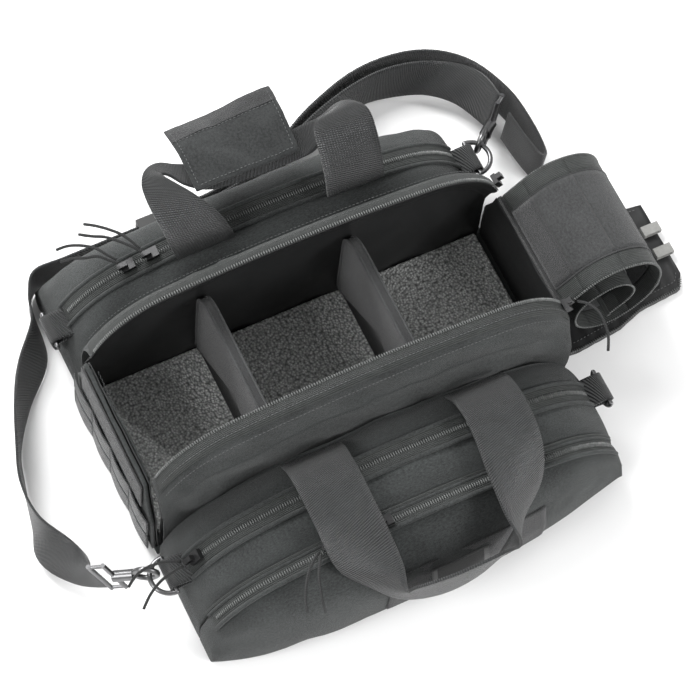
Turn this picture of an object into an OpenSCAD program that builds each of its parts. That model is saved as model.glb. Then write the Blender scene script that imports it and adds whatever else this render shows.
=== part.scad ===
// Soft gear bag: a main compartment with a roll-back zipped lid, three
// zipped outside pockets, an end pocket flap, two grab handles, a shoulder
// strap and movable padded dividers. Origin at the middle of the footprint,
// on the ground. X runs along the bag, -Y is the front, +Z is up.

/* [Main compartment] */
// Half the length of the main compartment, outside
half_len = 186; // [180:1:190]
// Half the width of the main compartment at its base, outside
half_wid = 78; // [76:1:80]
// Half the width of the zipped top opening
half_mouth = 57; // [54:1:60]
// Height of the opening's rim at the middle of the bag
rim_top = 163; // [155:1:170]
// Thickness of a padded wall
wall = 5.5; // [4:0.5:6]

/* [Pockets] */
// Height of the pocket tops at the middle of the bag
pocket_top = 111; // [105:1:115]
// How far the back of the rear pocket stands from the middle
rear_y = 166; // [160:1:170]
// Where the organizer ends and the outer pocket begins
crease_y = -154; // [-156:1:-152]
// How far the outer pocket bulges out of the organizer
outer_bulge = 38; // [30:1:42]
// Half the length of the pockets
pocket_half = 182; // [178:1:182]

/* [Lid] */
// Spacing of the lid's folding lines
lid_pitch = 42.05; // [42:0.01:42.1]
// Thickness of the lid's cloth panels
lid_thick = 3; // [2:0.5:3]
// Height of the lid's root fold
lid_root_z = 97; // [96:0.5:98]

/* [Webbing and hardware] */
// Width of the carry handle webbing
handle_w = 50; // [40:1:50]
// Thickness of the carry handle webbing
handle_t = 2.6; // [2:0.1:3]
// Width of the shoulder strap webbing
strap_w = 38; // [30:1:40]
// Thickness of the shoulder strap webbing
strap_t = 2; // [1.5:0.1:2.5]
// Width of the corner tab webbing
tab_w = 24; // [20:1:24]
// Wire radius of the D-rings
ring_r = 2; // [1.5:0.1:2]
// Inside half width of the D-rings
ring_half = 15; // [14:0.5:16]

/* [Hidden] */
$fn = 48;

cloth = "#45494a";
lining = "#1d1f20";
foam = "#5a5d5f";
webbing = "#3b3f42";
zip_tape = "#343a38";
steel = "#8d9092";
eps = 0.3;

// The rim's side view is one long arc with a tighter arc at each end, and so
// is each pocket's top edge.
rim_big = 900;
rim_mid = 115;
rim_small = 77.5;
pocket_big = 500;
pocket_mid = 125;
pocket_small = 80;

function two_arcs(x, big, mid, small, top) =
    let (a = asin(mid / big), join_z = top - big + big * cos(a),
        cx = mid - small * sin(a), cz = join_z - small * cos(a))
    abs(x) <= mid ? top - big + sqrt(big * big - x * x)
        : cz + sqrt(max(0, small * small - pow(abs(x) - cx, 2)));
function rim_z(x) = two_arcs(x, rim_big, rim_mid, rim_small, rim_top);
function top_z(x) = two_arcs(x, pocket_big, pocket_mid, pocket_small, pocket_top);

// Where the small end arc of a pocket's top is centred
function end_arc_x() = pocket_mid - pocket_small * pocket_mid / pocket_big;
function end_arc_z() = pocket_top - pocket_big
    + (pocket_big - pocket_small) * cos(asin(pocket_mid / pocket_big));

// Stations along the bag, closer together towards its ends
function stations(half, n = 12) = [for (i = [-n:n]) half * sin(90 * i / n)];

// A closed solid through rings of equal point counts
module loft(rings) {
    n = len(rings[0]);
    m = len(rings);
    polyhedron(
        points = [for (r = rings) each r],
        faces = concat(
            [[for (j = [0:n - 1]) j]],
            [for (i = [0:m - 2], j = [0:n - 1])
                [i * n + j, (i + 1) * n + j, (i + 1) * n + (j + 1) % n, i * n + (j + 1) % n]],
            [[for (j = [n - 1:-1:0]) (m - 1) * n + j]]),
        convexity = 6);
}

// A smooth curve through a few points, k steps between each pair
function curve(p, k) = [
    for (i = [0:len(p) - 2], j = [0:k - 1])
        let (a = p[max(i - 1, 0)], b = p[i], c = p[i + 1], d = p[min(i + 2, len(p) - 1)], t = j / k)
        0.5 * (2 * b + (c - a) * t + (2 * a - 5 * b + 4 * c - d) * t * t
            + (3 * b - a - 3 * c + d) * t * t * t),
    p[len(p) - 1]];
function unit(v) = v / norm(v);
function heading(p, i) = unit(p[min(i + 1, len(p) - 1)] - p[max(i - 1, 0)]);

// Flat webbing along a curve. w is its width, or a list of the width at every
// point where it is folded lengthwise; sides gives its width's directions.
module ribbon(path, sides, w, t) {
    loft([for (i = [0:len(path) - 1])
        let (s = unit(sides[i]), n = unit(cross(heading(path, i), s)),
            h = (is_list(w) ? w[i] : w) / 2)
        [path[i] - s * h - n * t / 2, path[i] + s * h - n * t / 2,
            path[i] + s * h + n * t / 2, path[i] - s * h + n * t / 2]]);
}

// A thin cord along a curve
module tube(path, r) {
    loft([for (i = [0:len(path) - 1])
        let (h = heading(path, i), s = unit(cross([0.13, 0.21, 1], h)), n = cross(h, s))
        [for (a = [0:45:315]) path[i] + r * (cos(a) * s + sin(a) * n)]]);
}

// ---- main compartment ----

base_t = 3;
module base_panel() {
    color(cloth) translate([0, 0, base_t / 2])
        cube([2 * half_len - 6, 2 * half_wid - 2, base_t], center = true);
}

pad_t = 6;
module floor_pad() {
    color(foam) translate([0, 0, base_t + eps + pad_t / 2])
        cube([2 * half_len - 22, 2 * (half_wid - wall) - 3, pad_t], center = true);
}

// A long wall stands upright and leans in over its top part, to the rim
lean = 38;
function wall_section(x, side) =
    let (z = rim_z(x), o = half_wid, i = half_wid - wall,
        mid_y = half_mouth + 13)
    [for (p = [[o, base_t], [o, z - lean], [mid_y + 1, z - 14], [half_mouth + 1, z],
            [half_mouth + 1, z - wall], [mid_y - 4, z - 18], [i, z - lean - 2], [i, base_t]])
        [x, side * p[0], p[1]]];
module long_wall(side) {
    color(cloth) loft([for (x = stations(178)) wall_section(side * x, side)]);
}
module front_wall() { long_wall(-1); }
module rear_wall() { long_wall(1); }

// An end wall fits between the long walls, under the rim's ends
module end_wall(side, top) {
    in_y = half_wid - wall - eps;
    color(cloth) translate([side * (half_len - 3), 0, 0]) rotate([90, 0, 90])
        linear_extrude(6, center = true) polygon([
            [-in_y, base_t], [in_y, base_t], [in_y, 52], [half_mouth + 7, 72],
            [half_mouth - 1, top], [1 - half_mouth, top], [-half_mouth - 7, 72], [-in_y, 52]]);
}
left_top = 100;
module left_end_wall() { end_wall(-1, left_top); }
module right_end_wall() { end_wall(1, lid_root_z - 10); }

strip_t = 1.6;
module left_loop_strip() {
    color(lining) translate([-half_len - strip_t - eps, 1 - half_mouth, left_top - 40])
        cube([strip_t, 2 * half_mouth - 2, 38]);
}

// A bound flap of cloth that folds over inside the left end
module left_end_flap() {
    color(lining) translate([-half_len + 6 + eps, 4 - half_mouth, left_top - 58])
        cube([2.5, 2 * half_mouth - 8, 56]);
}

module lid_root_strip() {
    color(lining) translate([half_len - 6, 1 - half_mouth, lid_root_z - 10 + eps])
        cube([6, 2 * half_mouth - 2, 6.5]);
}

// Three rows of webbing down the outside of the left end
row_w = 25;
module side_webbing() {
    color(webbing) for (z = [4, 4 + row_w + 3])
        translate([-half_len - 2.2 - eps, 8 - half_wid, z]) cube([2.2, 2 * half_wid - 16, row_w]);
}

// ---- pockets ----

module rear_pocket() {
    color(cloth) loft([for (x = stations(pocket_half))
        let (z = top_z(x), b = half_wid + eps)
        [for (p = [[b, 0], [rear_y - 6, 0], [rear_y, 14], [rear_y - 2, z * 0.55],
                [rear_y - 14, z * 0.85], [132, z - 2], [130, z], [108, z], [94, z - 3],
                [84, z - 9], [b, z - 14]]) [x, p[0], p[1]]]]);
}

module front_organizer() {
    color(cloth) loft([for (x = stations(pocket_half))
        let (z = top_z(x), b = -half_wid - eps)
        [for (p = [[crease_y, 0], [b, 0], [b, z - 14], [-84, z - 11], [-94, z - 4], [-105, z],
                [-127, z], [-140, z - 2], [-150, z - 5], [crease_y, z - 9]]) [x, p[0], p[1]]]]);
}

// The outer pocket bulges least at its right end
function outer_k(x) = outer_bulge * (x < 20 ? 1 - 0.45 * pow(x / pocket_half, 4)
    : 1 - 0.55 * pow((x - 20) / (pocket_half - 20), 2));
module outer_pocket() {
    color(cloth) loft([for (x = stations(pocket_half))
        let (z = top_z(x) - 8, k = outer_k(x),
            b = crease_y - eps)
        [for (p = [[b - k * 0.8, 0], [b, 0], [b, z - 4], [b - 2, z], [b - 14, z],
                [b - 14 - k * 0.2, z - 6], [b - k * 0.8, z * 0.75], [b - k, z * 0.45],
                [b - k * 0.96, 12]]) [x, p[0], p[1]]]]);
}

// The front carries a wide loop-pile panel with a small woven label on it.
// Both follow the pocket's bulging face.
function face(x, up) =
    let (z = top_z(x) - 8, k = outer_k(x),
        b = crease_y - eps)
    up > 0.45 ? [x, b - k * (1 - 0.2 * (up - 0.45) / 0.3), z * up]
        : [x, b - k * (0.96 + 0.04 * (up - 0.12) / 0.33), z * up];
module face_patch(x0, x1, up0, up1, gap, t, n = 8) {
    loft([for (i = [0:n])
        let (x = x0 + (x1 - x0) * i / n, a = face(x, up0), b = face(x, up1),
            m = face(x, min(max(0.45, up0), up1)))
        [[x, a[1] - gap - t, a[2]], [x, m[1] - gap - t, m[2]], [x, b[1] - gap - t, b[2]],
            [x, b[1] - gap, b[2]], [x, m[1] - gap, m[2]], [x, a[1] - gap, a[2]]]]);
}
module loop_panel() { color(lining) face_patch(-42, 98, 0.2, 0.7, eps, 1.6); }
module woven_label() { color(webbing) face_patch(-6, 44, 0.35, 0.6, 2.2, 1, 4); }

// ---- zips ----

// A zip: a flat tape with a raised coil along its middle
zip_w = 18;
tape_t = 1;
coil_w = 5;
coil_t = 1.6;
module pocket_zip(y, lift) {
    color(zip_tape) for (b = [[zip_w, 0, tape_t], [coil_w, tape_t, tape_t + coil_t]])
        loft([for (x = stations(174))
            let (z = top_z(x) + lift)
            [for (p = [[-1, b[1]], [1, b[1]], [1, b[2]], [-1, b[2]]])
                [x, y + p[0] * b[0] / 2, z + p[1]]]]);
}
rear_zip_y = 119;
organizer_zip_y = -116;
outer_zip_y = crease_y - 7;
module rear_zip() { pocket_zip(rear_zip_y, 0.4); }
module organizer_zip() { pocket_zip(organizer_zip_y, 0.4); }
module outer_zip() {
    color(zip_tape) loft([for (x = stations(174))
        let (z = top_z(x) - 8 + 0.4)
        [for (p = [[-5, 0], [5, 0], [5, tape_t], [2.5, tape_t + coil_t], [-2.5, tape_t + coil_t],
                [-5, tape_t]]) [x, outer_zip_y + p[0], z + p[1]]]]);
}
module rim_zip(side) {
    color(zip_tape) loft([for (x = stations(177))
        let (z = rim_z(x) + 0.4)
        [for (p = [[0, 0], [3, 0], [3, 2.4], [0, 2.4]])
            [side * x, side * (half_mouth - 0.6 + p[0]), z + p[1]]]]);
}
module rim_zip_front() { rim_zip(-1); }
module rim_zip_rear() { rim_zip(1); }

// A slider stands on the coil. at is its place along the bag, on the big arc
// or, past the middle part, on the end arc; the hole takes the pull cord.
slider_len = 11;
slider_w = 8.5;
slider_h = 4.2;
module slider() {
    translate([-slider_len / 2, -slider_w / 2, 0]) cube([slider_len, slider_w, slider_h]);
    translate([-4, 0, slider_h]) difference() {
        translate([-4, -2, 0]) cube([8, 4, 4.5]);
        translate([0, 0, 2]) rotate([90, 0, 0]) cylinder(r = 1.3, h = 6, center = true);
    }
}
slider_lift = 0.4 + tape_t + coil_t + 0.3;
module slider_on_arc(x, y, drop = 0) {
    past = abs(x) > pocket_mid;
    cx = past ? sign(x) * end_arc_x() : 0;
    cz = past ? end_arc_z() : pocket_top - pocket_big;
    r = past ? pocket_small : pocket_big;
    tilt = asin((x - cx) / r);
    color(steel) translate([cx, y, cz - drop]) rotate([0, tilt, 0])
        translate([0, 0, r + slider_lift]) slider();
}
rear_a_x = -118;
rear_b_x = -98;
organizer_x = -165;
outer_a_x = -31;
outer_b_x = -75;
module rear_pull_a() { slider_on_arc(rear_a_x, rear_zip_y); }
module rear_pull_b() { slider_on_arc(rear_b_x, rear_zip_y); }
module organizer_pull() { slider_on_arc(organizer_x, organizer_zip_y); }
module outer_pull_a() { slider_on_arc(outer_a_x, outer_zip_y, 8); }
module outer_pull_b() { slider_on_arc(outer_b_x, outer_zip_y, 8); }

// The lid's two sliders rest at the root end of the rim
module rim_pulls() {
    color(steel) for (side = [-1, 1])
        translate([175, side * (half_mouth + 3.5), rim_z(175) + 4]) rotate([0, 62, 0]) slider();
}

// Each pull is a cord doubled through the slider's eye, its two ends loose
cord_r = 1.2;
module pull_cord(ends) { color(lining) for (e = ends) tube(curve(e, 3), cord_r); }
rear_cord_a_route = [
    [[-128, 118, 116], [-134, 122, 118], [-141, 128, 120], [-150, 131, 119], [-159, 136, 116],
        [-168, 139, 112]],
    [[-128, 121, 116], [-134, 128, 118], [-140, 136, 119], [-148, 143, 117], [-157, 149, 113],
        [-166, 152, 108]]];
rear_cord_b_route = [
    [[-108, 118, 119], [-114, 125, 121], [-121, 133, 121], [-129, 141, 120], [-138, 147, 118],
        [-146, 154, 115]],
    [[-108, 121, 119], [-112, 129, 121], [-117, 138, 121], [-124, 147, 119], [-131, 155, 116],
        [-138, 162, 112]]];
organizer_cord_route = [
    [[-180, -117, 69], [-187, -119, 73], [-196, -121, 74], [-205, -124, 72], [-213, -128, 67],
        [-220, -133, 60]],
    [[-180, -113, 69], [-188, -111, 73], [-197, -109, 75], [-207, -108, 73], [-216, -109, 68],
        [-223, -112, 60]]];
outer_cord_a_route = [
    [[-44, -162, 109], [-48, -168, 110], [-49, -177, 107], [-46, -187, 99], [-42, -195, 88],
        [-39, -199, 75]],
    [[-44, -165, 109], [-45, -172, 110], [-43, -181, 105], [-39, -190, 97], [-34, -197, 86],
        [-30, -200, 74]]];
outer_cord_b_route = [
    [[-88, -162, 105], [-94, -166, 106], [-101, -172, 104], [-107, -180, 99], [-111, -188, 91],
        [-112, -194, 81]],
    [[-88, -165, 105], [-92, -171, 106], [-96, -179, 102], [-98, -187, 95], [-99, -194, 86],
        [-98, -198, 75]]];
rim_cord_route = [
    [[186, -61, 117], [192, -67, 119], [197, -75, 117], [199, -84, 111], [199, -93, 103],
        [196, -101, 94]]];
module rear_cord_a() { pull_cord(rear_cord_a_route); }
module rear_cord_b() { pull_cord(rear_cord_b_route); }
module organizer_cord() { pull_cord(organizer_cord_route); }
module outer_cord_a() { pull_cord(outer_cord_a_route); }
module outer_cord_b() { pull_cord(outer_cord_b_route); }
module rim_cord() { pull_cord(rim_cord_route); }

// ---- lid ----

// The lid is a long cloth panel in ten lengths that fold on each other. Rolled
// back, each length points this way in side view, in degrees from +X.
rolled = [45, -8, -60, -98, -145, -210, -267, -335, -418, -500];
lid_root = [182, lid_root_z];
lid_half = half_mouth - 1.5;
fold_gap = 2.6;
end_trim = 8;
function fold(i) = i == 0 ? lid_root
    : fold(i - 1) + lid_pitch * [cos(rolled[i - 1]), sin(rolled[i - 1])];
module lid_panel(i) {
    last = len(rolled) - 1;
    far = lid_pitch - (i == last ? end_trim : fold_gap);
    color(cloth) translate([fold(i)[0], 0, fold(i)[1]]) rotate([0, -rolled[i], 0])
        translate([fold_gap, -lid_half, -lid_thick / 2])
            cube([far - fold_gap, 2 * lid_half, lid_thick]);
}

// ---- end pocket flap ----

flap_z = 1;
flap_t = 3.5;
module end_flap() {
    color(cloth) translate([0, 0, flap_z]) linear_extrude(flap_t) polygon([
        [190.5, -60], [206, -61], [246, -57], [270, -49], [309, -46], [318, 38], [262, 46],
        [190.5, 52]]);
}
grommet_at = [[292, 14], [290, -28]];
module flap_grommets() {
    color(steel) for (g = grommet_at) translate([g[0], g[1], flap_z + flap_t + 0.1])
        difference() {
            cylinder(r = 8, h = 1.4);
            translate([0, 0, -1]) cylinder(r = 4.5, h = 4);
        }
}
module flap_keepers() {
    color("#9a9c98") for (y = [-14, 8]) translate([304, y, flap_z + flap_t + 0.2])
        difference() {
            cube([16, 9, 5]);
            translate([2, -1, 1.2]) cube([12, 11, 2.6]);
        }
}

// ---- handles ----

// A handle is one length of webbing: up one leg, along the grip and down the
// other. Its width lies along the bag on the legs and stands up at the grip.
across = [1, 0, 0];

// Each station of the front handle: its place and its width's direction. The
// legs lie over the pockets and twist on edge before they turn into the grip.
front_stations = [
    [[-59, -87, 104], [1, 0, 0]], [[-60, -99, 119], [1, 0, 0]], [[-60.5, -122, 126], [1, 0, 0]],
    [[-60, -152, 121], [1, 0, 0]], [[-58, -184, 108], [0.85, -0.3, 0.35]],
    [[-50, -206, 94], [0.3, -0.5, 0.8]], [[-34, -214, 84], [0, -0.2, 1]],
    [[2, -218, 78], [0, -0.1, 1]], [[40, -216, 82], [0, -0.2, 1]],
    [[61, -208, 92], [-0.3, -0.5, 0.8]], [[74, -184, 108], [-0.85, -0.3, 0.35]],
    [[80, -152, 121], [-1, 0, 0]], [[82, -122, 126], [-1, 0, 0]], [[82, -99, 119], [-1, 0, 0]],
    [[82, -87, 104], [-1, 0, 0]]];
module front_handle() {
    color(webbing) ribbon(curve([for (s = front_stations) s[0]], 3),
        curve([for (s = front_stations) s[1]], 3), handle_w, handle_t);
}

// Each station of the rear handle: its place, its width's direction and width.
// The webbing is folded narrower where it turns into the grip.
rear_stations = [
    [[-60, 101, 119], [1, 0, 0], 50], [[-63, 105, 130], [1, 0, 0], 50],
    [[-68, 116, 144], [1, 0, 0], 46], [[-76, 134, 155], [1, -0.1, 0], 36],
    [[-81, 149, 160], [1, -0.3, 0], 24], [[-79, 159, 159], [0.7, -0.7, 0], 13],
    [[-70, 160, 155], [0.2, -1, 0], 13], [[-58, 152, 150], [0, -1, 0], 20],
    [[-40, 145, 147], [0, -1, 0], 25], [[-5, 142, 146], [0, -1, 0], 25],
    [[30, 142, 146], [0, -1, 0], 25], [[48, 143, 147], [0, -1, 0], 24],
    [[61, 147, 150], [-0.3, -1, 0], 16], [[71, 152, 156], [-0.8, -0.6, 0], 16],
    [[74, 149, 162], [-1, -0.1, 0], 34], [[74, 139, 162], [-1, 0, 0], 48],
    [[73, 123, 152], [-1, 0, 0], 50], [[72, 109, 136], [-1, 0, 0], 50],
    [[71, 101, 119], [-1, 0, 0], 50]];
module rear_handle() {
    color(webbing) ribbon(curve([for (s = rear_stations) s[0]], 3),
        curve([for (s = rear_stations) s[1]], 3), curve([for (s = rear_stations) s[2]], 3),
        handle_t);
}

// The grip's wrap lies open behind it, one corner lower than the other
wrap_left = -53;
wrap_right = 34;
wrap_front_y = 133;
module handle_wrap() {
    color(cloth) loft([for (k = [0:6])
        let (f = k / 6, x = wrap_left + (wrap_right - wrap_left) * f)
        [for (p = [[0, 0], [20, 5], [42, 4], [62, 0], [62, 2.4], [42, 6.6], [20, 7.6], [0, 2.6]])
            [x, wrap_front_y + p[0] - 4 * f * p[0] / 62, 149.5 + p[1] + (18 * f - 8) * p[0] / 62]]]);
}

// ---- rings, tabs and hooks ----

tab_z = 54;
tab_y = 114;
tab_x = 190;
corners = [[-1, -1], [-1, 1], [1, -1], [1, 1]];
module ring_tabs() {
    color(webbing) for (c = corners)
        translate([c[0] * tab_x, c[1] * tab_y, tab_z]) rotate([90, 0, 0])
            linear_extrude(tab_w, center = true) difference() {
                union() {
                    circle(r = 4.2);
                    translate([c[0] < 0 ? 0 : -tab_x + pocket_half + 0.6, -4.2])
                        square([tab_x - pocket_half - 0.6, 8.4]);
                }
                circle(r = ring_r + 0.3);
            }
}

// A D-ring: a straight bar along Y and a half round below it
module d_ring() {
    rotate([90, 0, 0]) cylinder(r = ring_r, h = 2 * ring_half, center = true);
    rotate([0, 90, 0]) rotate([0, 0, -90]) rotate_extrude(angle = 180)
        translate([ring_half, 0]) circle(r = ring_r);
    for (s = [-1, 1]) translate([0, s * ring_half, 0]) sphere(r = ring_r);
}
module ring_at(c, swing) {
    color(steel) translate([c[0] * tab_x, c[1] * tab_y, tab_z]) rotate([0, -c[0] * swing, 0])
        d_ring();
}
module ring_front_right() { ring_at([1, -1], 0); }
module ring_rear_left() { ring_at([-1, 1], 0); }
module strap_rings() {
    ring_at([-1, -1], 90);
    ring_at([1, 1], 90);
}

// A swivel hook: a round eye through the D-ring, a barrel and a webbing loop
eye_r = 9;
eye_wire = 2.2;
barrel_len = 17;
loop_len = 12;
module swivel_hook() {
    rotate([90, 0, 0]) rotate_extrude() translate([eye_r, 0]) circle(r = eye_wire);
    translate([eye_r + 1, 0, 0]) rotate([0, 90, 0]) cylinder(r = 4.6, h = barrel_len);
    translate([eye_r + barrel_len, 0, 0]) {
        for (s = [-1, 1]) translate([0, 0, s * (strap_w / 2 + 3)]) rotate([0, 90, 0])
            cylinder(r = 1.5, h = loop_len);
        for (dx = [0, loop_len]) translate([dx, 0, 0])
            cylinder(r = 1.9, h = strap_w + 10, center = true);
    }
}
// A hook pulls on its D-ring away from the tab, at this angle from +X
left_pull = 152;
right_pull = 40;
hook_reach = ring_half + 3;
module hook_at(side, pull) {
    color(steel) translate([side * tab_x + hook_reach * cos(pull), side * tab_y
        + hook_reach * sin(pull), tab_z]) rotate([0, 0, pull]) rotate([0, 22, 0]) swivel_hook();
}
module hook_front_left() { hook_at(-1, left_pull); }
module hook_rear_right() { hook_at(1, right_pull); }

// ---- shoulder strap ----

// Each station of the strap: its place and its width's direction. It lies on
// the ground on edge, and flatter near the hooks.
strap_stations = [
    [[-238, -89, 39.5], [-0.33, 0.18, 0.93]], [[-247, -76, 31], [0.3, 0, 0.9]],
    [[-256, -52, 22], [0.75, -0.2, 0.6]], [[-261, -20, 20.5], [0.1, -0.2, 1]],
    [[-258, 14, 20.5], [-0.15, -0.2, 1]], [[-248, 46, 20.5], [-0.1, -0.1, 1]],
    [[-230, 80, 19.5], [-0.3, 0, 1]], [[-209, 108, 17.5], [-0.6, 0, 0.8]],
    [[-194, 134, 20], [-0.2, 0, 1]], [[-190, 157, 20.5], [0, 0, 1]],
    [[-178, 174, 21.5], [0, 0, 1]], [[-150, 174, 23], [0, 0, 1]], [[-90, 174, 24], [0, 0, 1]],
    [[-50, 174, 24], [0, 0, 1]], [[-10, 176, 22], [0, 0, 1]], [[40, 188, 20.5], [0, 0, 1]], [[92, 212, 20.5], [0, 0, 1]],
    [[140, 224, 20.5], [0.1, 0.1, 1]], [[176, 222, 21], [0.4, 0.2, 0.9]],
    [[208, 208, 24], [0.8, 0.2, 0.6]], [[225, 184, 33], [0.6, 0.1, 0.8]],
    [[232, 152, 39.5], [0.29, 0.24, 0.93]]];
module shoulder_strap() {
    color(webbing) ribbon(curve([for (s = strap_stations) s[0]], 3),
        curve([for (s = strap_stations) s[1]], 3), strap_w, strap_t);
}

// The strap's free run doubles back from the hook to the adjuster
tail_route = [[-52, 178, 24], [-14, 180, 22], [40, 194, 20.5], [92, 220, 20.5],
    [145, 236, 20.5], [196, 232, 20.5], [232, 208, 20.5], [251, 168, 20.5], [255, 130, 20.5],
    [252, 100, 22], [245, 98, 27], [239, 116, 33], [235, 138, 38]];
module strap_tail() {
    color(webbing) ribbon(curve(tail_route, 3), [for (i = [0:36]) [0.1, 0.05, 1]], strap_w, strap_t);
}
slider_at = [-78, 174, 24];
module strap_slider() {
    color("#26282a") translate(slider_at) difference() {
        cube([16, 10, strap_w + 9], center = true);
        cube([18, 4.4, strap_w + 1.4], center = true);
    }
}

// ---- dividers ----

div_t = 8;
div_top = 118;
div_half = half_wid - wall - 1.2;
module divider(x) {
    z0 = base_t + eps + pad_t + eps;
    color(lining) translate([x, 0, 0]) rotate([90, 0, 90]) linear_extrude(div_t, center = true)
        hull() {
            translate([-div_half, z0]) square([2 * div_half, 60]);
            for (s = [-1, 1]) translate([s * (div_half - 24), div_top - 24]) circle(r = 24);
        }
}
module divider_left() { divider(-78); }
module divider_right() { divider(50); }

base_panel();
floor_pad();
front_wall();
rear_wall();
left_end_wall();
right_end_wall();
left_loop_strip();
left_end_flap();
lid_root_strip();
side_webbing();
rear_pocket();
front_organizer();
outer_pocket();
loop_panel();
woven_label();
rear_zip();
organizer_zip();
outer_zip();
rim_zip_front();
rim_zip_rear();
lid_panel(0);  // lid_panel_0
lid_panel(1);  // lid_panel_1
lid_panel(2);  // lid_panel_2
lid_panel(3);  // lid_panel_3
lid_panel(4);  // lid_panel_4
lid_panel(5);  // lid_panel_5
lid_panel(6);  // lid_panel_6
lid_panel(7);  // lid_panel_7
lid_panel(8);  // lid_panel_8
lid_panel(9);  // lid_panel_9
end_flap();
flap_grommets();
flap_keepers();
front_handle();
rear_handle();
handle_wrap();
ring_tabs();
ring_front_right();
ring_rear_left();
strap_rings();
hook_front_left();
hook_rear_right();
shoulder_strap();
strap_tail();
strap_slider();
divider_left();
divider_right();
rear_pull_a();
rear_pull_b();
organizer_pull();
outer_pull_a();
outer_pull_b();
rim_pulls();
rear_cord_a();
rear_cord_b();
organizer_cord();
outer_cord_a();
outer_cord_b();
rim_cord();
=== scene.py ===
import math

import bmesh
import bpy
from mathutils import Matrix, Vector, noise


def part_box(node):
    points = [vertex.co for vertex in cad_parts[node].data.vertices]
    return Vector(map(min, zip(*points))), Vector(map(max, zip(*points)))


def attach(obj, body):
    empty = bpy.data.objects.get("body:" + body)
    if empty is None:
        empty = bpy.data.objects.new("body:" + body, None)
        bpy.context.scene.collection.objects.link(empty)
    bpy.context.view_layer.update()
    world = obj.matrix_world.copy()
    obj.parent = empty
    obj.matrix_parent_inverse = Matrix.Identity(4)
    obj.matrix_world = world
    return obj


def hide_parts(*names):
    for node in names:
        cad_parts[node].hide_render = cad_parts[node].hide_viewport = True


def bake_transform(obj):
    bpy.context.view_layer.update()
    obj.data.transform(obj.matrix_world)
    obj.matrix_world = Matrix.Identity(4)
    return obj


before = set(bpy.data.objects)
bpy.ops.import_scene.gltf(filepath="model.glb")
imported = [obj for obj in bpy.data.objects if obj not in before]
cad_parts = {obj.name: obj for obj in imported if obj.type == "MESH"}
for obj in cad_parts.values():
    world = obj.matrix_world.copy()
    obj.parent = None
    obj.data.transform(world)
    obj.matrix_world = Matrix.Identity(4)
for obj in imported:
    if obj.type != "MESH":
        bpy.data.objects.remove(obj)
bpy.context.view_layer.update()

# ---------------------------------------------------------------------------
# The studio: a camera looking steeply down on the bag from the front left, a
# pale floor and soft boxes of light all round it.
# ---------------------------------------------------------------------------
mm = 0.001
scene = bpy.context.scene
scene.view_settings.view_transform = "Standard"

camera_data = bpy.data.cameras.new("studio_camera")
camera = bpy.data.objects.new("studio_camera", camera_data)
scene.collection.objects.link(camera)
scene.camera = camera
camera_data.lens = 149.5
camera_data.shift_x = 0.0291
camera_data.shift_y = -0.0219
camera_turn = math.radians(-33.0)
camera_tilt = math.radians(64.8)
camera_roll = math.radians(7.8)
camera_distance = 2.2787
look_at = Vector((0, 0, 0.1))
backward = Vector((math.sin(camera_turn) * math.cos(camera_tilt),
                   -math.cos(camera_turn) * math.cos(camera_tilt), math.sin(camera_tilt)))
level = Vector((math.cos(camera_turn), math.sin(camera_turn), 0))
upward = backward.cross(level)
sideways = math.cos(camera_roll) * level + math.sin(camera_roll) * upward
overhead = backward.cross(sideways)
camera.matrix_world = Matrix.Translation(look_at + camera_distance * backward) @ Matrix(
    (sideways, overhead, backward)).transposed().to_4x4()


def soft_box(name, place, size, power):
    """A square area light that faces the bag."""
    light = bpy.data.lights.new(name, "AREA")
    light.shape = "SQUARE"
    light.size = size
    light.energy = power
    lamp = bpy.data.objects.new(name, light)
    scene.collection.objects.link(lamp)
    lamp.location = place
    lamp.rotation_euler = (look_at - Vector(place)).to_track_quat("-Z", "Y").to_euler()


soft_box("back_box", (-0.4, 1.4, 1.6), 1.0, 62)
soft_box("left_box", (-1.7, -0.3, 1.4), 0.9, 26)
soft_box("front_box", (1.2, -1.4, 1.3), 0.9, 34)
world = bpy.data.worlds.new("studio_air")
world.use_nodes = True
world.node_tree.nodes["Background"].inputs["Color"].default_value = (1, 1, 1, 1)
world.node_tree.nodes["Background"].inputs["Strength"].default_value = 0.6
scene.world = world


class Signal:
    """A shader socket that takes part in Python arithmetic."""

    def __init__(self, finish, socket):
        self.finish = finish
        self.socket = socket

    def maths(self, operation, first, second=0.0):
        return self.finish.node("ShaderNodeMath", {"operation": operation}, {0: first, 1: second})

    def __add__(self, other):
        return self.maths("ADD", self, other)

    def __sub__(self, other):
        return self.maths("SUBTRACT", self, other)

    def __rsub__(self, other):
        return self.maths("SUBTRACT", other, self)

    def __mul__(self, other):
        return self.maths("MULTIPLY", self, other)

    def __abs__(self):
        return self.maths("ABSOLUTE", self)

    __radd__ = __add__
    __rmul__ = __mul__

    def sine(self):
        return self.maths("SINE", self)

    def at_least(self, other):
        return self.maths("MAXIMUM", self, other)


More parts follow.
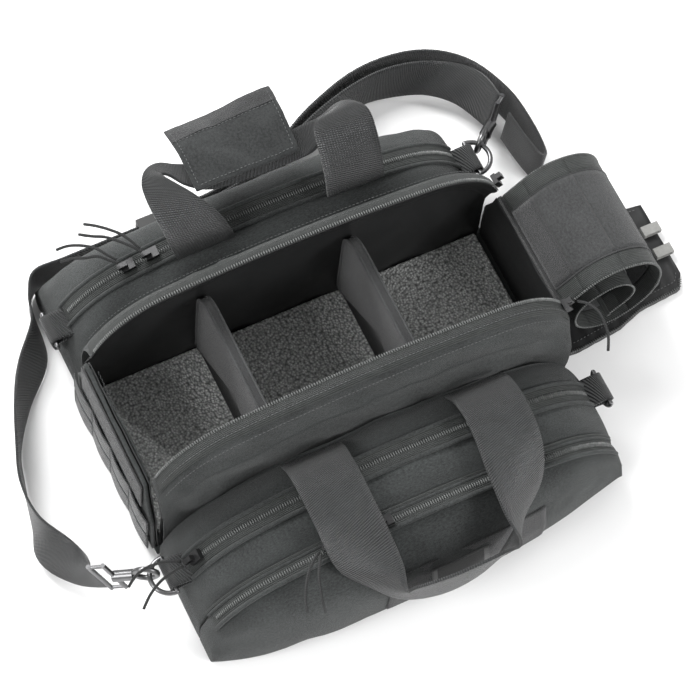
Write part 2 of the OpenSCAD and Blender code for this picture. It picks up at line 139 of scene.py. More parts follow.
class Finish:
    """A material under one Principled shader, whose settings are given by name."""

    def __init__(self, name, **settings):
        self.material = bpy.data.materials.new(name)
        self.material.use_nodes = True
        self.tree = self.material.node_tree
        self.shader = self.tree.nodes["Principled BSDF"]
        for key, value in settings.items():
            self.shader.inputs[key.replace("_", " ")].default_value = value

    def node(self, kind, settings, inputs, output=0):
        made = self.tree.nodes.new(kind)
        for key, value in settings.items():
            if key == "stops":
                ramp = made.color_ramp.elements
                for element, (place, colour) in zip((ramp[0], ramp[1]), (value[0], value[-1])):
                    element.position = place
                    element.color = colour
                for place, colour in value[1:-1]:
                    ramp.new(place).color = colour
            else:
                setattr(made, key, value)
        for key, value in inputs.items():
            if isinstance(value, Signal):
                self.tree.links.new(value.socket, made.inputs[key])
            else:
                made.inputs[key].default_value = value
        return Signal(self, made.outputs[output])

    def feed(self, name, signal):
        self.tree.links.new(signal.socket, self.shader.inputs[name])

    def mapped(self):
        """The piece's own cloth map, in metres across and along."""
        spot = self.node("ShaderNodeUVMap", {"uv_map": "cloth"}, {})
        across = self.node("ShaderNodeSeparateXYZ", {}, {0: spot})
        along = self.node("ShaderNodeSeparateXYZ", {}, {0: spot}, 1)
        return spot, across, along

    def place(self):
        return self.node("ShaderNodeTexCoord", {}, {}, 3)

    def noise(self, spot, size, detail=3.0, rough=0.6):
        return self.node("ShaderNodeTexNoise", {}, {
            "Vector": spot, "Scale": 1 / size, "Detail": detail, "Roughness": rough})

    def blend(self, factor, low, high):
        return self.node("ShaderNodeMix", {"data_type": "RGBA"}, {0: factor, 6: low, 7: high}, 2)

    def bump(self, height, depth, strength=1.0):
        self.feed("Normal", self.node("ShaderNodeBump", {}, {
            "Height": height, "Distance": depth, "Strength": strength}))


def tone(value, tint=(1, 1, 1)):
    """A grey of that brightness with a slight tint, as linear colour."""
    return tuple(value * t for t in tint) + (1,)


floor_mesh = bpy.data.meshes.new("studio_floor")
floor_bm = bmesh.new()
bmesh.ops.create_grid(floor_bm, x_segments=1, y_segments=1, size=6)
floor_bm.to_mesh(floor_mesh)
floor = bpy.data.objects.new("studio_floor", floor_mesh)
scene.collection.objects.link(floor)
floor.location.z = -0.0006
floor_mesh.materials.append(Finish("pale_paper", Base_Color=tone(0.88), Roughness=0.9).material)

# ---------------------------------------------------------------------------
# Pull cords: thin braided cord doubled through each slider's eye, its two
# ends loose and singed so they don't fray.
# ---------------------------------------------------------------------------
cord_radius = 1.2


def piece(name, bm, finish, body, nodes=()):
    """Makes the object, gives it its finish and lets it ride on its body."""
    mesh = bpy.data.meshes.new(name)
    bm.to_mesh(mesh)
    bm.free()
    made = bpy.data.objects.new(name, mesh)
    scene.collection.objects.link(made)
    mesh.materials.append(finish.material)
    for face in mesh.polygons:
        face.use_smooth = True
    if nodes:
        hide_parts(*nodes)
    if body:
        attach(made, body)
    return made


def frames(path, lift=(0, 0, 1)):
    """For each point of a path: its place, heading and two square directions."""
    found = []
    for i, spot in enumerate(path):
        ahead = (path[min(i + 1, len(path) - 1)] - path[max(i - 1, 0)]).normalized()
        side = Vector(lift).cross(ahead).normalized()
        found.append((spot, ahead, side, ahead.cross(side)))
    return found


def rod(path, radius, sides=8):
    """A round rod along a path in mm, closed at both ends."""
    path = [Vector(p) for p in path]
    bm = bmesh.new()
    layer = bm.loops.layers.uv.new("cloth")
    rings = []
    stations = frames(path, (0.13, 0.21, 1))
    for i, (spot, ahead, side, over) in enumerate(stations):
        turn = Matrix((side * radius * mm, over * radius * mm, ahead * mm)).transposed()
        ring = bmesh.ops.create_circle(bm, segments=sides, radius=1, cap_ends=i in (
            0, len(path) - 1), matrix=Matrix.Translation(spot * mm) @ turn.to_4x4())["verts"]
        rings.append(ring)
    for near, far in zip(rings, rings[1:]):
        for k in range(sides):
            bm.faces.new((near[k], near[(k + 1) % sides], far[(k + 1) % sides], far[k]))
    bmesh.ops.recalc_face_normals(bm, faces=bm.faces)
    gone = 0.0
    length_at = {}
    for i, ring in enumerate(rings):
        gone += (path[i] - path[i - 1]).length * mm if i else 0
        for k, vert in enumerate(ring):
            length_at[vert] = (k * radius * mm * 0.8, gone)
    for face in bm.faces:
        for loop in face.loops:
            loop[layer].uv = length_at[loop.vert]
    return bm


def along(points, steps):
    """A smooth path through a few points, with steps between each pair."""
    points = [Vector(p) for p in points]
    out = []
    for i in range(len(points) - 1):
        a, b = points[max(i - 1, 0)], points[i]
        c, d = points[i + 1], points[min(i + 2, len(points) - 1)]
        for k in range(steps):
            t = k / steps
            out.append(0.5 * (2 * b + (c - a) * t + (2 * a - 5 * b + 4 * c - d) * t * t
                              + (3 * b - a - 3 * c + d) * t ** 3))
    return out + [points[-1]]


def cord_finish():
    finish = Finish("braided_cord", Roughness=0.72, Specular_IOR_Level=0.35)
    spot, across, length = finish.mapped()
    braid = ((across * 2600 + length * 2400).sine() * (across * 2600 - length * 2400).sine())
    finish.feed("Base Color", finish.blend(braid * 0.5 + 0.5, tone(0.012),
                                           tone(0.05, (1, 1.03, 1.04))))
    finish.bump(braid, 0.0003)
    return finish


braided = cord_finish()
cord_routes = {
    "rear_cord_a": ("rear_pull_a", [
        [(-128, 118, 116), (-134, 122, 118), (-141, 128, 120), (-150, 131, 119),
         (-159, 136, 116), (-168, 139, 112)],
        [(-128, 121, 116), (-134, 128, 118), (-140, 136, 119), (-148, 143, 117),
         (-157, 149, 113), (-166, 152, 108)]]),
    "rear_cord_b": ("rear_pull_b", [
        [(-108, 118, 119), (-114, 125, 121), (-121, 133, 121), (-129, 141, 120),
         (-138, 147, 118), (-146, 154, 115)],
        [(-108, 121, 119), (-112, 129, 121), (-117, 138, 121), (-124, 147, 119),
         (-131, 155, 116), (-138, 162, 112)]]),
    "organizer_cord": ("organizer_pull", [
        [(-180, -117, 69), (-187, -119, 73), (-196, -121, 74), (-205, -124, 72),
         (-213, -128, 67), (-220, -133, 60)],
        [(-180, -113, 69), (-188, -111, 73), (-197, -109, 75), (-207, -108, 73),
         (-216, -109, 68), (-223, -112, 60)]]),
    "outer_cord_a": ("outer_pull_a", [
        [(-44, -162, 109), (-48, -168, 110), (-49, -177, 107), (-46, -187, 99),
         (-42, -195, 88), (-39, -199, 75)],
        [(-44, -165, 109), (-45, -172, 110), (-43, -181, 105), (-39, -190, 97),
         (-34, -197, 86), (-30, -200, 74)]]),
    "outer_cord_b": ("outer_pull_b", [
        [(-88, -162, 105), (-94, -166, 106), (-101, -172, 104), (-107, -180, 99),
         (-111, -188, 91), (-112, -194, 81)],
        [(-88, -165, 105), (-92, -171, 106), (-96, -179, 102), (-98, -187, 95),
         (-99, -194, 86), (-98, -198, 75)]]),
    "rim_cord": ("bag", [
        [(186, -61, 117), (192, -67, 119), (197, -75, 117), (199, -84, 111),
         (199, -93, 103), (196, -101, 94)]]),
}
for node, (body, strands) in cord_routes.items():
    for k, route in enumerate(strands):
        path = along(route, 4)
        strand = piece(f"{node}_strand_{k}", rod(path, cord_radius, 8), braided, body,
                       (node,))
        length = sum((q - p).length for p, q in zip(path, path[1:])) * mm
        [c * mm for c in route[0]]
        [tuple(p * mm) for p in path]

# ---------------------------------------------------------------------------
# Floor pad: a loose slab of closed-cell foam with a pebbled skin, laid on the
# stiff base panel, which the cloth of the bottom covers.
# ---------------------------------------------------------------------------


def foam_finish():
    finish = Finish("pebbled_foam", Roughness=0.42, Specular_IOR_Level=0.5)
    spot = finish.place()
    pebble = finish.node("ShaderNodeTexVoronoi", {"feature": "SMOOTH_F1"},
                         {"Vector": spot, "Scale": 470, "Smoothness": 0.2})
    fleck = finish.noise(spot, 0.0016, 2)
    broad = finish.noise(spot, 0.05, 3)
    # Pebble tops are painted lighter in the base colour, a painted highlight on each pebble; the
    # fleck and broad noise add random tone.
    light = (1 - pebble) * 0.5 + fleck * 0.35 + broad * 0.12
    finish.feed("Base Color", finish.node("ShaderNodeValToRGB", {"stops": [
        (0.28, tone(0.13, (1, 1.02, 1.0))), (0.5, tone(0.40, (1, 1.02, 1.0))),
        (0.72, tone(0.85, (1, 1.01, 1.0)))]}, {0: light}))
    finish.bump(1 - pebble + fleck * 0.4, 0.0012, 0.9)
    return finish


floor_low, floor_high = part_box("floor_pad")


def slab(low, high, edge):
    """A block between two corners in metres, its edges rounded by edge mm."""
    bm = bmesh.new()
    bmesh.ops.create_cube(bm, size=1)
    middle, size = (low + high) / 2, high - low
    bmesh.ops.transform(bm, verts=bm.verts, matrix=Matrix.Translation(middle) @ Matrix.Diagonal(
        (size.x, size.y, size.z, 1)))
    sharp = [e for e in bm.edges if e.calc_face_angle(0) > 1]
    bmesh.ops.bevel(bm, geom=sharp, offset=edge * mm, segments=3, profile=0.5, affect="EDGES",
                    material=-1)
    return bm


foam = foam_finish()
piece("foam_floor", slab(Vector(floor_low), Vector(floor_high), 2.2), foam, "bag",
                ("floor_pad",))


# ---------------------------------------------------------------------------
# Bottom: the stiff base panel in its cover of the same woven nylon as the
# rest of the outside, bound at the edge.
# ---------------------------------------------------------------------------


def cloth_finish(name, dark, light, tint=(1, 1.03, 1.05), weave=0.00085, rough=0.86, sheen=0.12):
    """Plain woven nylon: crossed threads, a heathered fleck and soft wear."""
    finish = Finish(name, Roughness=rough, Sheen_Weight=sheen, Sheen_Roughness=0.5,
                    Specular_IOR_Level=0.3)
    spot, across, length = finish.mapped()
    pace = 2 * math.pi / weave
    threads = (across * pace).sine() * (length * pace).sine()
    fleck = finish.noise(spot, 0.0021, 4, 0.8)
    broad = finish.noise(spot, 0.035, 4, 0.6)
    shade = threads * 0.12 + fleck * 1.5 + broad * 0.45 - 0.5
    finish.feed("Base Color", finish.node("ShaderNodeValToRGB", {"stops": [
        (0.2, tone(dark, tint)), (0.5, tone((dark + light) / 2, tint)), (0.85, tone(light, tint))]},
        {0: shade}))
    finish.feed("Roughness", fleck * 0.2 + (rough - 0.1))
    finish.bump(threads * 0.4 + fleck * 1.2, 0.00035, 0.8)
    return finish


pack_cloth = cloth_finish("pack_cloth", 0.008, 0.057, (1, 1.10, 1.09))
base_low, base_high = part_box("base_panel")
piece("bottom_cover", slab(Vector(base_low), Vector(base_high), 1.3), pack_cloth, "bag",
      ("base_panel",))

# ---------------------------------------------------------------------------
# Long walls: padded cloth walls that lean in over their top part. The outside
# is woven nylon, the inside smooth black lining, and zip tape edges the rim.
# ---------------------------------------------------------------------------
def laid(cols, rows, rule, flip=False, closed=False):
    """A grid whose every spot (a, b), 0 to 1 each way, is laid by rule in mm."""
    bm = bmesh.new()
    bmesh.ops.create_grid(bm, x_segments=cols, y_segments=rows, size=0.5)
    layer = bm.loops.layers.uv.new("cloth")
    span = sum((Vector(rule((i + 1) / 24, 0.5)) - Vector(rule(i / 24, 0.5))).length
               for i in range(24)) * mm
    rise = sum((Vector(rule(0.5, (i + 1) / 24)) - Vector(rule(0.5, i / 24))).length
               for i in range(24)) * mm
    for face in bm.faces:
        for loop in face.loops:
            spot = loop.vert.co
            loop[layer].uv = ((spot.x + 0.5) * span, (spot.y + 0.5) * rise)
    for vert in bm.verts:
        vert.co = Vector(rule(vert.co.x + 0.5, vert.co.y + 0.5)) * mm
    if closed:
        bmesh.ops.remove_doubles(bm, verts=bm.verts, dist=0.00002)
        bmesh.ops.recalc_face_normals(bm, faces=bm.faces)
    elif flip:
        bmesh.ops.reverse_faces(bm, faces=bm.faces)
    return bm


def thicken(made, depth, offset=-1.0):
    shell = made.modifiers.new("cloth thickness", "SOLIDIFY")
    shell.thickness = depth * mm
    shell.offset = offset
    return made


def ripple(spot, size, depth, seed=0.0):
    """A soft unevenness of cloth, in mm, with some sharper folds."""
    p = Vector(spot) / size + Vector((seed, seed * 1.7, -seed))
    return depth * (noise.noise(p) + 0.6 * (0.3 - abs(noise.noise(p * 1.9))))


# The rim and the pocket tops follow one long arc with a tighter arc each end.
def two_arcs(x, big, mid, small, top):
    lean = math.asin(mid / big)
    cx = mid - small * math.sin(lean)
    cz = top - big + (big - small) * math.cos(lean)
    if abs(x) <= mid:
        return top - big + math.sqrt(big * big - x * x)
    return cz + math.sqrt(max(0.0, small * small - (abs(x) - cx) ** 2))


def rim_z(x):
    return two_arcs(x, 900, 115, 77.5, 163)


def stations(half, a):
    """Spreads a, 0 to 1, along the bag, closer together near its ends."""
    return half * math.sin(math.pi * (a - 0.5))


# In mm: half the wall's length, and how far its faces stand from the middle line.
wall_half_length = 178
outer_face = 78
inner_face = 72


def wall_profile(x, t, inside):
    """(distance from the middle line, height) at t, 0 base to 1 rim."""
    z = rim_z(x)
    if inside:
        knots = [(72.3, 3.2), (72.2, (z - 40) * 0.5), (inner_face, z - 42), (70.5, z - 33),
                 (66, z - 19), (60.5, z - 8), (57.6, z - 1.2)]
    else:
        knots = [(outer_face, 3), (78.2, (z - 38) * 0.5), (outer_face, z - 40), (76.6, z - 31),
                 (71.2, z - 15), (64.5, z - 4.5), (58.4, z - 0.4)]
    place = along([(0, *k) for k in knots], 4)
    spot = t * (len(place) - 1)
    low = min(int(spot), len(place) - 2)
    found = place[low].lerp(place[low + 1], spot - low)
    return found.y, found.z


def wall_rule(side, inside):
    def rule(a, t):
        x = stations(wall_half_length, a) * side
        y, z = wall_profile(x, t, inside)
        near_rim = max(0.0, t - 0.5) * 2
        if inside:
            calm = min(1.0, (1 - t) * 3)
            y += (ripple((x, z, 0), 30, 2.2, side) - 0.9) * calm
        else:
            calm = min(1.0, (1 - t) * 6)
            fold = math.sin((x + z * 1.4) / 17) * noise.noise(Vector((x / 60, z / 40, side)))
            dent = abs(noise.noise(Vector(((x + z) / 44, (x - 2 * z) / 130, side * 4)))) ** 0.6
            y += (ripple((x, z, 9), 40, 2.6, side * 3) + 4.2 * fold + 4.5 * (dent - 0.4)
                  ) * calm - 0.9 - 0.5 * near_rim
        return (x, side * y, z)
    return rule


def lining_finish():
    """Coated lining cloth: black, close woven and faintly glossy."""
    finish = Finish("smooth_lining", Roughness=0.45, Specular_IOR_Level=0.45)
    spot, across, length = finish.mapped()
    fleck = finish.noise(spot, 0.0009, 2)
    broad = finish.noise(spot, 0.03, 4)
    finish.feed("Base Color", finish.blend(fleck * 0.6 + broad * 0.6 - 0.1, tone(0.005),
                                           tone(0.022, (1, 1.03, 1.06))))
    finish.feed("Roughness", broad * 0.25 + 0.35)
    finish.bump(fleck, 0.0002, 0.5)
    return finish


lining = lining_finish()
for side, word in ((-1, "front"), (1, "rear")):
    outer = piece(f"{word}_wall_cloth", laid(72, 26, wall_rule(side, False)), pack_cloth, "bag",
                  (f"{word}_wall",))
    inner = piece(f"{word}_wall_lining", laid(60, 24, wall_rule(side, True), flip=True), lining,
                  "bag", (f"{word}_wall",))
    thicken(outer, 0.9)
    thicken(inner, 0.7)

# ---------------------------------------------------------------------------
# Rim zips: each half of the lid's zip is a ribbed tape sewn over the rim, with
# its teeth standing along the edge and two rows of thread beside them.
# ---------------------------------------------------------------------------


def paced(path, pitch):
    """Points along a path that lie one pitch apart, with the heading at each."""
    path = [Vector(p) for p in path]
    out = []
    need = pitch / 2
    for a, b in zip(path, path[1:]):
        span = (b - a).length
        while need <= span and span > 1e-6:
            out.append((a.lerp(b, need / span), (b - a).normalized()))
            need += pitch
        need -= span
    return out


def row(bm, path, pitch, size, up=(0, 0, 1)):
    """Adds small bodies of size (along, across, high) mm along a path."""
    for spot, ahead in paced(path, pitch):
        side = Vector(up).cross(ahead).normalized()
        turn = Matrix((ahead * size[0] / 2 * mm, side * size[1] / 2 * mm,
                       ahead.cross(side) * size[2] / 2 * mm)).transposed()
        bmesh.ops.create_icosphere(bm, subdivisions=1, radius=1,
                                   matrix=Matrix.Translation(spot * mm) @ turn.to_4x4())


def tape_finish():
    finish = Finish("ribbed_zip_tape", Roughness=0.6, Specular_IOR_Level=0.4)
    spot, across, length = finish.mapped()
    ribs = (across * (2 * math.pi / 0.0014)).sine()
    thread = (length * (2 * math.pi / 0.0009)).sine()
    wear = finish.noise(spot, 0.006, 3)
    # The rib crests are painted lighter in the base colour, a painted sheen along each rib; the
    # wear noise adds random tone.
    finish.feed("Base Color", finish.blend(ribs * 0.3 + wear * 0.6 + 0.1,
                                           tone(0.016, (1, 1.09, 1.05)),
                                           tone(0.078, (1, 1.08, 1.04))))
    finish.bump(ribs + thread * 0.3, 0.0004)
    return finish


def glossy_finish(name, shade, rough, tint=(1, 1, 1), metal=0.0):
    """A hard moulded or plated surface with faint handling marks."""
    finish = Finish(name, Metallic=metal, Specular_IOR_Level=0.5)
    marks = finish.noise(finish.place(), 0.004, 4, 0.7)
    finish.feed("Base Color", finish.blend(marks, tone(shade * 0.7, tint), tone(shade * 1.3, tint)))
    finish.feed("Roughness", marks * 0.25 + (rough - 0.1))
    finish.bump(marks, 0.00008, 0.4)
    return finish


zip_tape = tape_finish()
teeth = glossy_finish("coil_teeth", 0.10, 0.25, (1, 1.04, 1.02))
thread = glossy_finish("sewing_thread", 0.085, 0.5, (1, 1.03, 1.04))


def toothed(name, path, body, size=(1.2, 5.2, 2.0), pitch=2.0, up=(0, 0, 1)):
    """Zip teeth, one pitch apart along a path."""
    bm = bmesh.new()
    row(bm, path, pitch, size, up)
    return piece(name, bm, teeth, body)


def stitched(name, paths, body, up=(0, 0, 1), pitch=3.4):
    """Lockstitching: short raised threads along each path."""
    bm = bmesh.new()
    for path in paths:
        row(bm, path, pitch, (2.5, 0.7, 0.6), up)
    return piece(name, bm, thread, body)


for side, word in ((-1, "front"), (1, "rear")):
    def tape_rule(a, b):
        x = stations(177, b)
        return (x, side * (57.2 + 11 * a), rim_z(x) + 1.2 - 6.4 * a * a)
    thicken(piece(f"rim_tape_{word}", laid(5, 80, tape_rule, flip=side > 0), zip_tape, "bag",
                  (f"rim_zip_{word}",)), 0.7, 0)
    rim_line = [(stations(176, k / 90), side * 57.6, rim_z(stations(176, k / 90)) + 2.1)
                for k in range(91)]
    toothed(f"rim_teeth_{word}", rim_line, "bag", (1.3, 3.8, 2.4), 2.1)
    stitched(f"rim_stitches_{word}", [
        [(x, side * (y + 57.2), rim_z(x) + z) for x in (stations(174, k / 60) for k in range(61))]
        for y, z in ((7.4, -0.9), (15.0, -9.0))], "bag", (0, side * 0.6, 0.8))

# ---------------------------------------------------------------------------
# End walls: padded like the long walls and sewn between them. The left one
# carries a strip of loop pile, a folded inner flap and two rows of webbing.
# ---------------------------------------------------------------------------


def webbing_finish():
    """Nylon webbing: slanting ribs two millimetres apart, with a cool sheen."""
    finish = Finish("ribbed_webbing", Sheen_Weight=0.15, Specular_IOR_Level=0.5)
    spot, across, length = finish.mapped()
    ribs = ((length + across * 0.3) * (2 * math.pi / 0.0015)).sine()
    fine = (across * (2 * math.pi / 0.0011)).sine()
    wear = finish.noise(spot, 0.012, 4)
    # The rib crests are painted lighter in the base colour, a painted highlight along each rib; the
    # wear noise adds random tone.
    finish.feed("Base Color", finish.blend(ribs * 0.26 + wear * 0.5 + 0.12,
                                           tone(0.004, (1, 1.08, 1.12)),
                                           tone(0.043, (1, 1.08, 1.12))))
    finish.feed("Roughness", wear * 0.2 + 0.30)
    finish.bump(ribs + fine * 0.3, 0.0006)
    return finish


def pile_finish(name, dark, light):
    """Loop pile or brushed velour: a dense short fuzz."""
    finish = Finish(name, Roughness=0.95, Sheen_Weight=0.3, Specular_IOR_Level=0.15)
    spot = finish.place()
    fuzz = finish.noise(spot, 0.0007, 4, 0.8)
    nap = finish.noise(spot, 0.02, 3)
    finish.feed("Base Color", finish.blend(fuzz * 0.8 + nap * 0.5 - 0.15, tone(dark),
                                           tone(light, (1, 1.02, 1.06))))
    finish.bump(fuzz, 0.0012)
    return finish


webbing = webbing_finish()
loop_pile = pile_finish("loop_pile", 0.006, 0.045)


def end_rule(side, top, x0):
    def rule(a, b):
        z = 3.4 + (top - 3.4) * b
        half = 71.5 if z < 52 else 71.5 - (z - 52) * 0.42 if z < 72 else 63 - (z - 72) * 0.24
        puff = 1.6 * math.sin(math.pi * a) * math.sin(math.pi * b)
        return (side * (x0 + ripple((0, a * 140, z), 30, 0.8, side) - 0.6 + puff * 0.4),
                (2 * a - 1) * half, z)
    return rule


for side, word, top in ((-1, "left", 100), (1, "right", 86.5)):
    panel = piece(f"{word}_end_cloth", laid(30, 22, end_rule(side, top, 185.4), flip=side < 0),
                  pack_cloth, "bag", (f"{word}_end_wall",))
    thicken(panel, 2.6)
    inner = piece(f"{word}_end_lining", laid(24, 18, end_rule(side, top, 180.6), flip=side > 0),
                  lining, "bag", (f"{word}_end_wall",))
    thicken(inner, 0.7)
pile_low, pile_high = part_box("left_loop_strip")
piece("left_loop_pile", slab(Vector(pile_low), Vector(pile_high), 0.6), loop_pile, "bag",
      ("left_loop_strip",))
stitched("left_loop_stitches", [[(-188.2, y, z) for y in (-54, 54)] for z in (63, 95)], "bag",
         (-1, 0, 0))


def inner_flap(a, b):
    y = -52 + 104 * a
    return (-178.2 + 1.6 * math.sin(5 * a) * b, y, 43 + 54 * b)


flap_cloth = thicken(piece("left_inner_flap", laid(24, 12, inner_flap), pack_cloth, "bag",
                           ("left_end_flap",)), 1.6)
stitched("left_inner_stitches", [[(-176.4, y, z) for y in (-49, 0, 49)] for z in (93, 89)], "bag",
         (1, 0, 0))
for k, low in enumerate((4, 32)):
    def molle_rule(a, b):
        y = -70 + 140 * b
        return (-188 - 1.5 * abs(math.sin(math.pi * (y + 70) / 35)), y, low + 25 * a)
    thicken(piece(f"side_webbing_{k}", laid(4, 64, molle_rule), webbing, "bag",
                  ("side_webbing",)), 1.2, 0)
    stitched(f"side_tacks_{k}", [[(-188.9, y, low + 2), (-188.9, y, low + 23)]
                                 for y in (-69, -35, 0, 35, 69)], "bag", (-1, 0, 0), 1.3)
root_low, root_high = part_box("lid_root_strip")
piece("lid_root_pile", slab(Vector(root_low), Vector(root_high), 1.2), loop_pile, "bag",
      ("lid_root_strip",))

# ---------------------------------------------------------------------------
# Outside pockets: shells of woven nylon that sag a little, sewn to the walls.
# Each is shut by a zip along its top, between two corded welts.
# ---------------------------------------------------------------------------
# Sizes in mm: half the pockets' length, how far the outer one bulges, and where it starts.
pocket_length = 182
belly = 45
crease = -154.3
welt_radius = 1.8


def top_z(x):
    return two_arcs(x, 500, 125, 80, 111)


def pocket_shell(name, node, knots, sag, seed):
    """A closed shell round a profile in (y, z), drawn in at both ends."""
    rows, caps = 78, 4

    def rule(a, b):
        t = b * rows
        near = min(1.0, min(t, rows - t) / caps)
        x = stations(pocket_length, min(1.0, max(0.0, (t - caps) / (rows - 2 * caps))))
        ring = along([(0, *k) for k in knots(x)] + [(0, *knots(x)[0])], 4)
        spot = a * (len(ring) - 1)
        low = min(int(spot), len(ring) - 2)
        place = ring[low].lerp(ring[low + 1], spot - low)
        heart = sum(ring[:-1], Vector()) / (len(ring) - 1)
        size = math.sin(near * math.pi / 2)
        place = heart + (place - heart) * size
        soft = ripple((x, place.y, place.z), 42, sag, seed)
        out = (place - heart).normalized() * soft * size
        end = math.copysign((1 - size) * 1.5, x)
        return (x + end, place.y + out.y, max(0.6, place.z + out.z))
    return piece(name, laid(52, rows, rule, closed=True), pack_cloth, "bag", (node,))


def rear_knots(x):
    z = top_z(x)
    return [(79, 2), (112, 1), (158, 1), (165, 15), (163, z * 0.55), (152, z * 0.84), (136, z - 3),
            (119, z - 0.6), (103, z - 0.8), (91, z - 4.5), (83, z - 11), (79.4, z - 18)]


def organizer_knots(x):
    z = top_z(x)
    return [(-79, 2), (-116, 1), (-153.4, 1), (-153.8, z * 0.45), (-153.6, z - 13), (-149, z - 6.5),
            (-137, z - 2.2), (-116, z - 0.6), (-101, z - 0.8), (-90, z - 6), (-82, z - 13),
            (-79.4, z - 20)]


def outer_k(x):
    """How far the outer pocket bulges, which is least at its right end."""
    if x < 20:
        return belly * (1 - 0.45 * (x / pocket_length) ** 4)
    return belly * (1 - 0.55 * ((x - 20) / (pocket_length - 20)) ** 2)


def outer_knots(x):
    z = top_z(x) - 8
    k = outer_k(x)
    return [(crease - 1, 1), (crease - k * 0.75, 1), (crease - k * 0.96, 13),
            (crease - k, z * 0.45), (crease - k * 0.82, z * 0.76), (crease - 13 - k * 0.2, z - 6),
            (crease - 9, z - 0.6), (crease - 3, z - 1.5), (crease - 0.4, z - 9)]


pocket_shell("rear_pocket_cloth", "rear_pocket", rear_knots, 1.8, 2.2)
pocket_shell("organizer_cloth", "front_organizer", organizer_knots, 1.6, 5.4)
pocket_shell("outer_pocket_cloth", "outer_pocket", outer_knots, 2.4, 8.1)


def pocket_line(y, drop=0.0, lift=1.0, half=172, count=80):
    return [(x, y, top_z(x) - drop + lift)
            for x in (stations(half, k / count) for k in range(count + 1))]


for name, y0, drop, half_tape in (("rear_zip", 119, 0, 8), ("organizer_zip", -116, 0, 8),
                                  ("outer_zip", -161.3, 8, 5)):
    def zip_rule(a, b):
        x = stations(174, b)
        return (x, y0 + (2 * a - 1) * half_tape, top_z(x) - drop + 1.0)
    thicken(piece(f"{name}_tape", laid(6, 80, zip_rule, flip=True), zip_tape, "bag",
                  (name,)), 0.7, 0)
    toothed(f"{name}_teeth", pocket_line(y0, drop, 2.0), "bag")
    for k, off in enumerate((-half_tape - 1.2, half_tape + 1.2)):
        piece(f"{name}_welt_{k}", rod(pocket_line(y0 + off, drop, 0.8, 175), welt_radius),
              pack_cloth, "bag")
    stitched(f"{name}_stitches", [pocket_line(y0 + off, drop, 1.0, 168)
                                  for off in (-half_tape + 1.6, half_tape - 1.6)], "bag")
piece("organizer_piping", rod([(x, -152.6, z - 6.6) for x, y, z in pocket_line(0, 0, 0, 176)],
                              1.7), zip_tape, "bag")

# ---------------------------------------------------------------------------
# Front panel: a broad patch of loop pile sewn to the outer pocket, with a
# small plain woven label on it.
# ---------------------------------------------------------------------------


def front_face(x, up, gap):
    z = top_z(x) - 8
    k = outer_k(x)
    bulge = 1 - 0.2 * max(0.0, up - 0.45) / 0.3 - 0.04 * max(0.0, 0.45 - up) / 0.33
    return (x, crease - k * bulge - gap, z * up)


def label_finish():
    finish = Finish("woven_label", Roughness=0.7)
    spot, across, length = finish.mapped()
    weft = (length * (2 * math.pi / 0.0007)).sine()
    frame_x = abs(across - 0.025).at_least(abs(length - 0.013) * 1.75)
    border = finish.node("ShaderNodeMath", {"operation": "GREATER_THAN"}, {0: frame_x, 1: 0.0205})
    finish.feed("Base Color", finish.blend(border * 0.7 + weft * 0.1 + 0.1, tone(0.012),
                                           tone(0.17)))
    finish.bump(weft, 0.0002)
    return finish


for name, node, finish, slot, (x0, x1, u0, u1), gap, deep in (
        ("front_loop_panel", "loop_panel", loop_pile, "loop_pile", (-42, 98, 0.2, 0.7), 1.4, 1.6),
        ("blank_label", "woven_label", label_finish(), "label_weave", (-6, 44, 0.35, 0.6), 3.0,
         1.0)):
    def patch_rule(a, b):
        return front_face(x0 + (x1 - x0) * a, u0 + (u1 - u0) * b, gap)
    thicken(piece(name, laid(28, 14, patch_rule), finish, "bag", (node,)), deep, 0)
    edge = [(0.02, 0.03), (0.98, 0.03), (0.98, 0.97), (0.02, 0.97), (0.02, 0.03)]
    border = []
    for (a0, b0), (a1, b1) in zip(edge, edge[1:]):
        border += [front_face(x0 + (x1 - x0) * (a0 + (a1 - a0) * k / 10),
                              u0 + (u1 - u0) * (b0 + (b1 - b0) * k / 10), gap + deep / 2 + 0.2)
                   for k in range(10)]
    stitched(f"{name}_stitches", [border], "bag", (0, -1, 0.1), 3)

# ---------------------------------------------------------------------------
# Lid: one long panel of cloth rolled back on itself at the right end. A zip
# tape with teeth and a piped edge runs down both of its sides.
# ---------------------------------------------------------------------------
# Degrees up from the floor that each of the ten lengths points, from the root on.
rolled = [45, -8, -60, -98, -145, -210, -267, -335, -418, -500]
# In mm: from fold to fold, and how far the cloth and the teeth reach to each side.
lid_pitch = 42.05
lid_cloth_half = 38.5
lid_edge = 53.9
folds = [Vector((182, 0, 97))]
for turn in rolled:
    folds.append(folds[-1] + lid_pitch * Vector((math.cos(math.radians(turn)), 0,
                                                 math.sin(math.radians(turn)))))
mids = [(a + b) / 2 for a, b in zip(folds, folds[1:])]


def lid_curve(i):
    """The side view of section i: from one length's middle round the fold to the next."""
    if i == 0:
        return [folds[0].lerp(mids[0], t / 8) for t in range(9)]
    if i == 10:
        return [mids[9].lerp(folds[10], 0.62 * t / 8) for t in range(9)]
    a, f, c = mids[i - 1], folds[i], mids[i]
    return [(1 - t) ** 2 * a + 2 * t * (1 - t) * f + t * t * c for t in (k / 12 for k in range(13))]


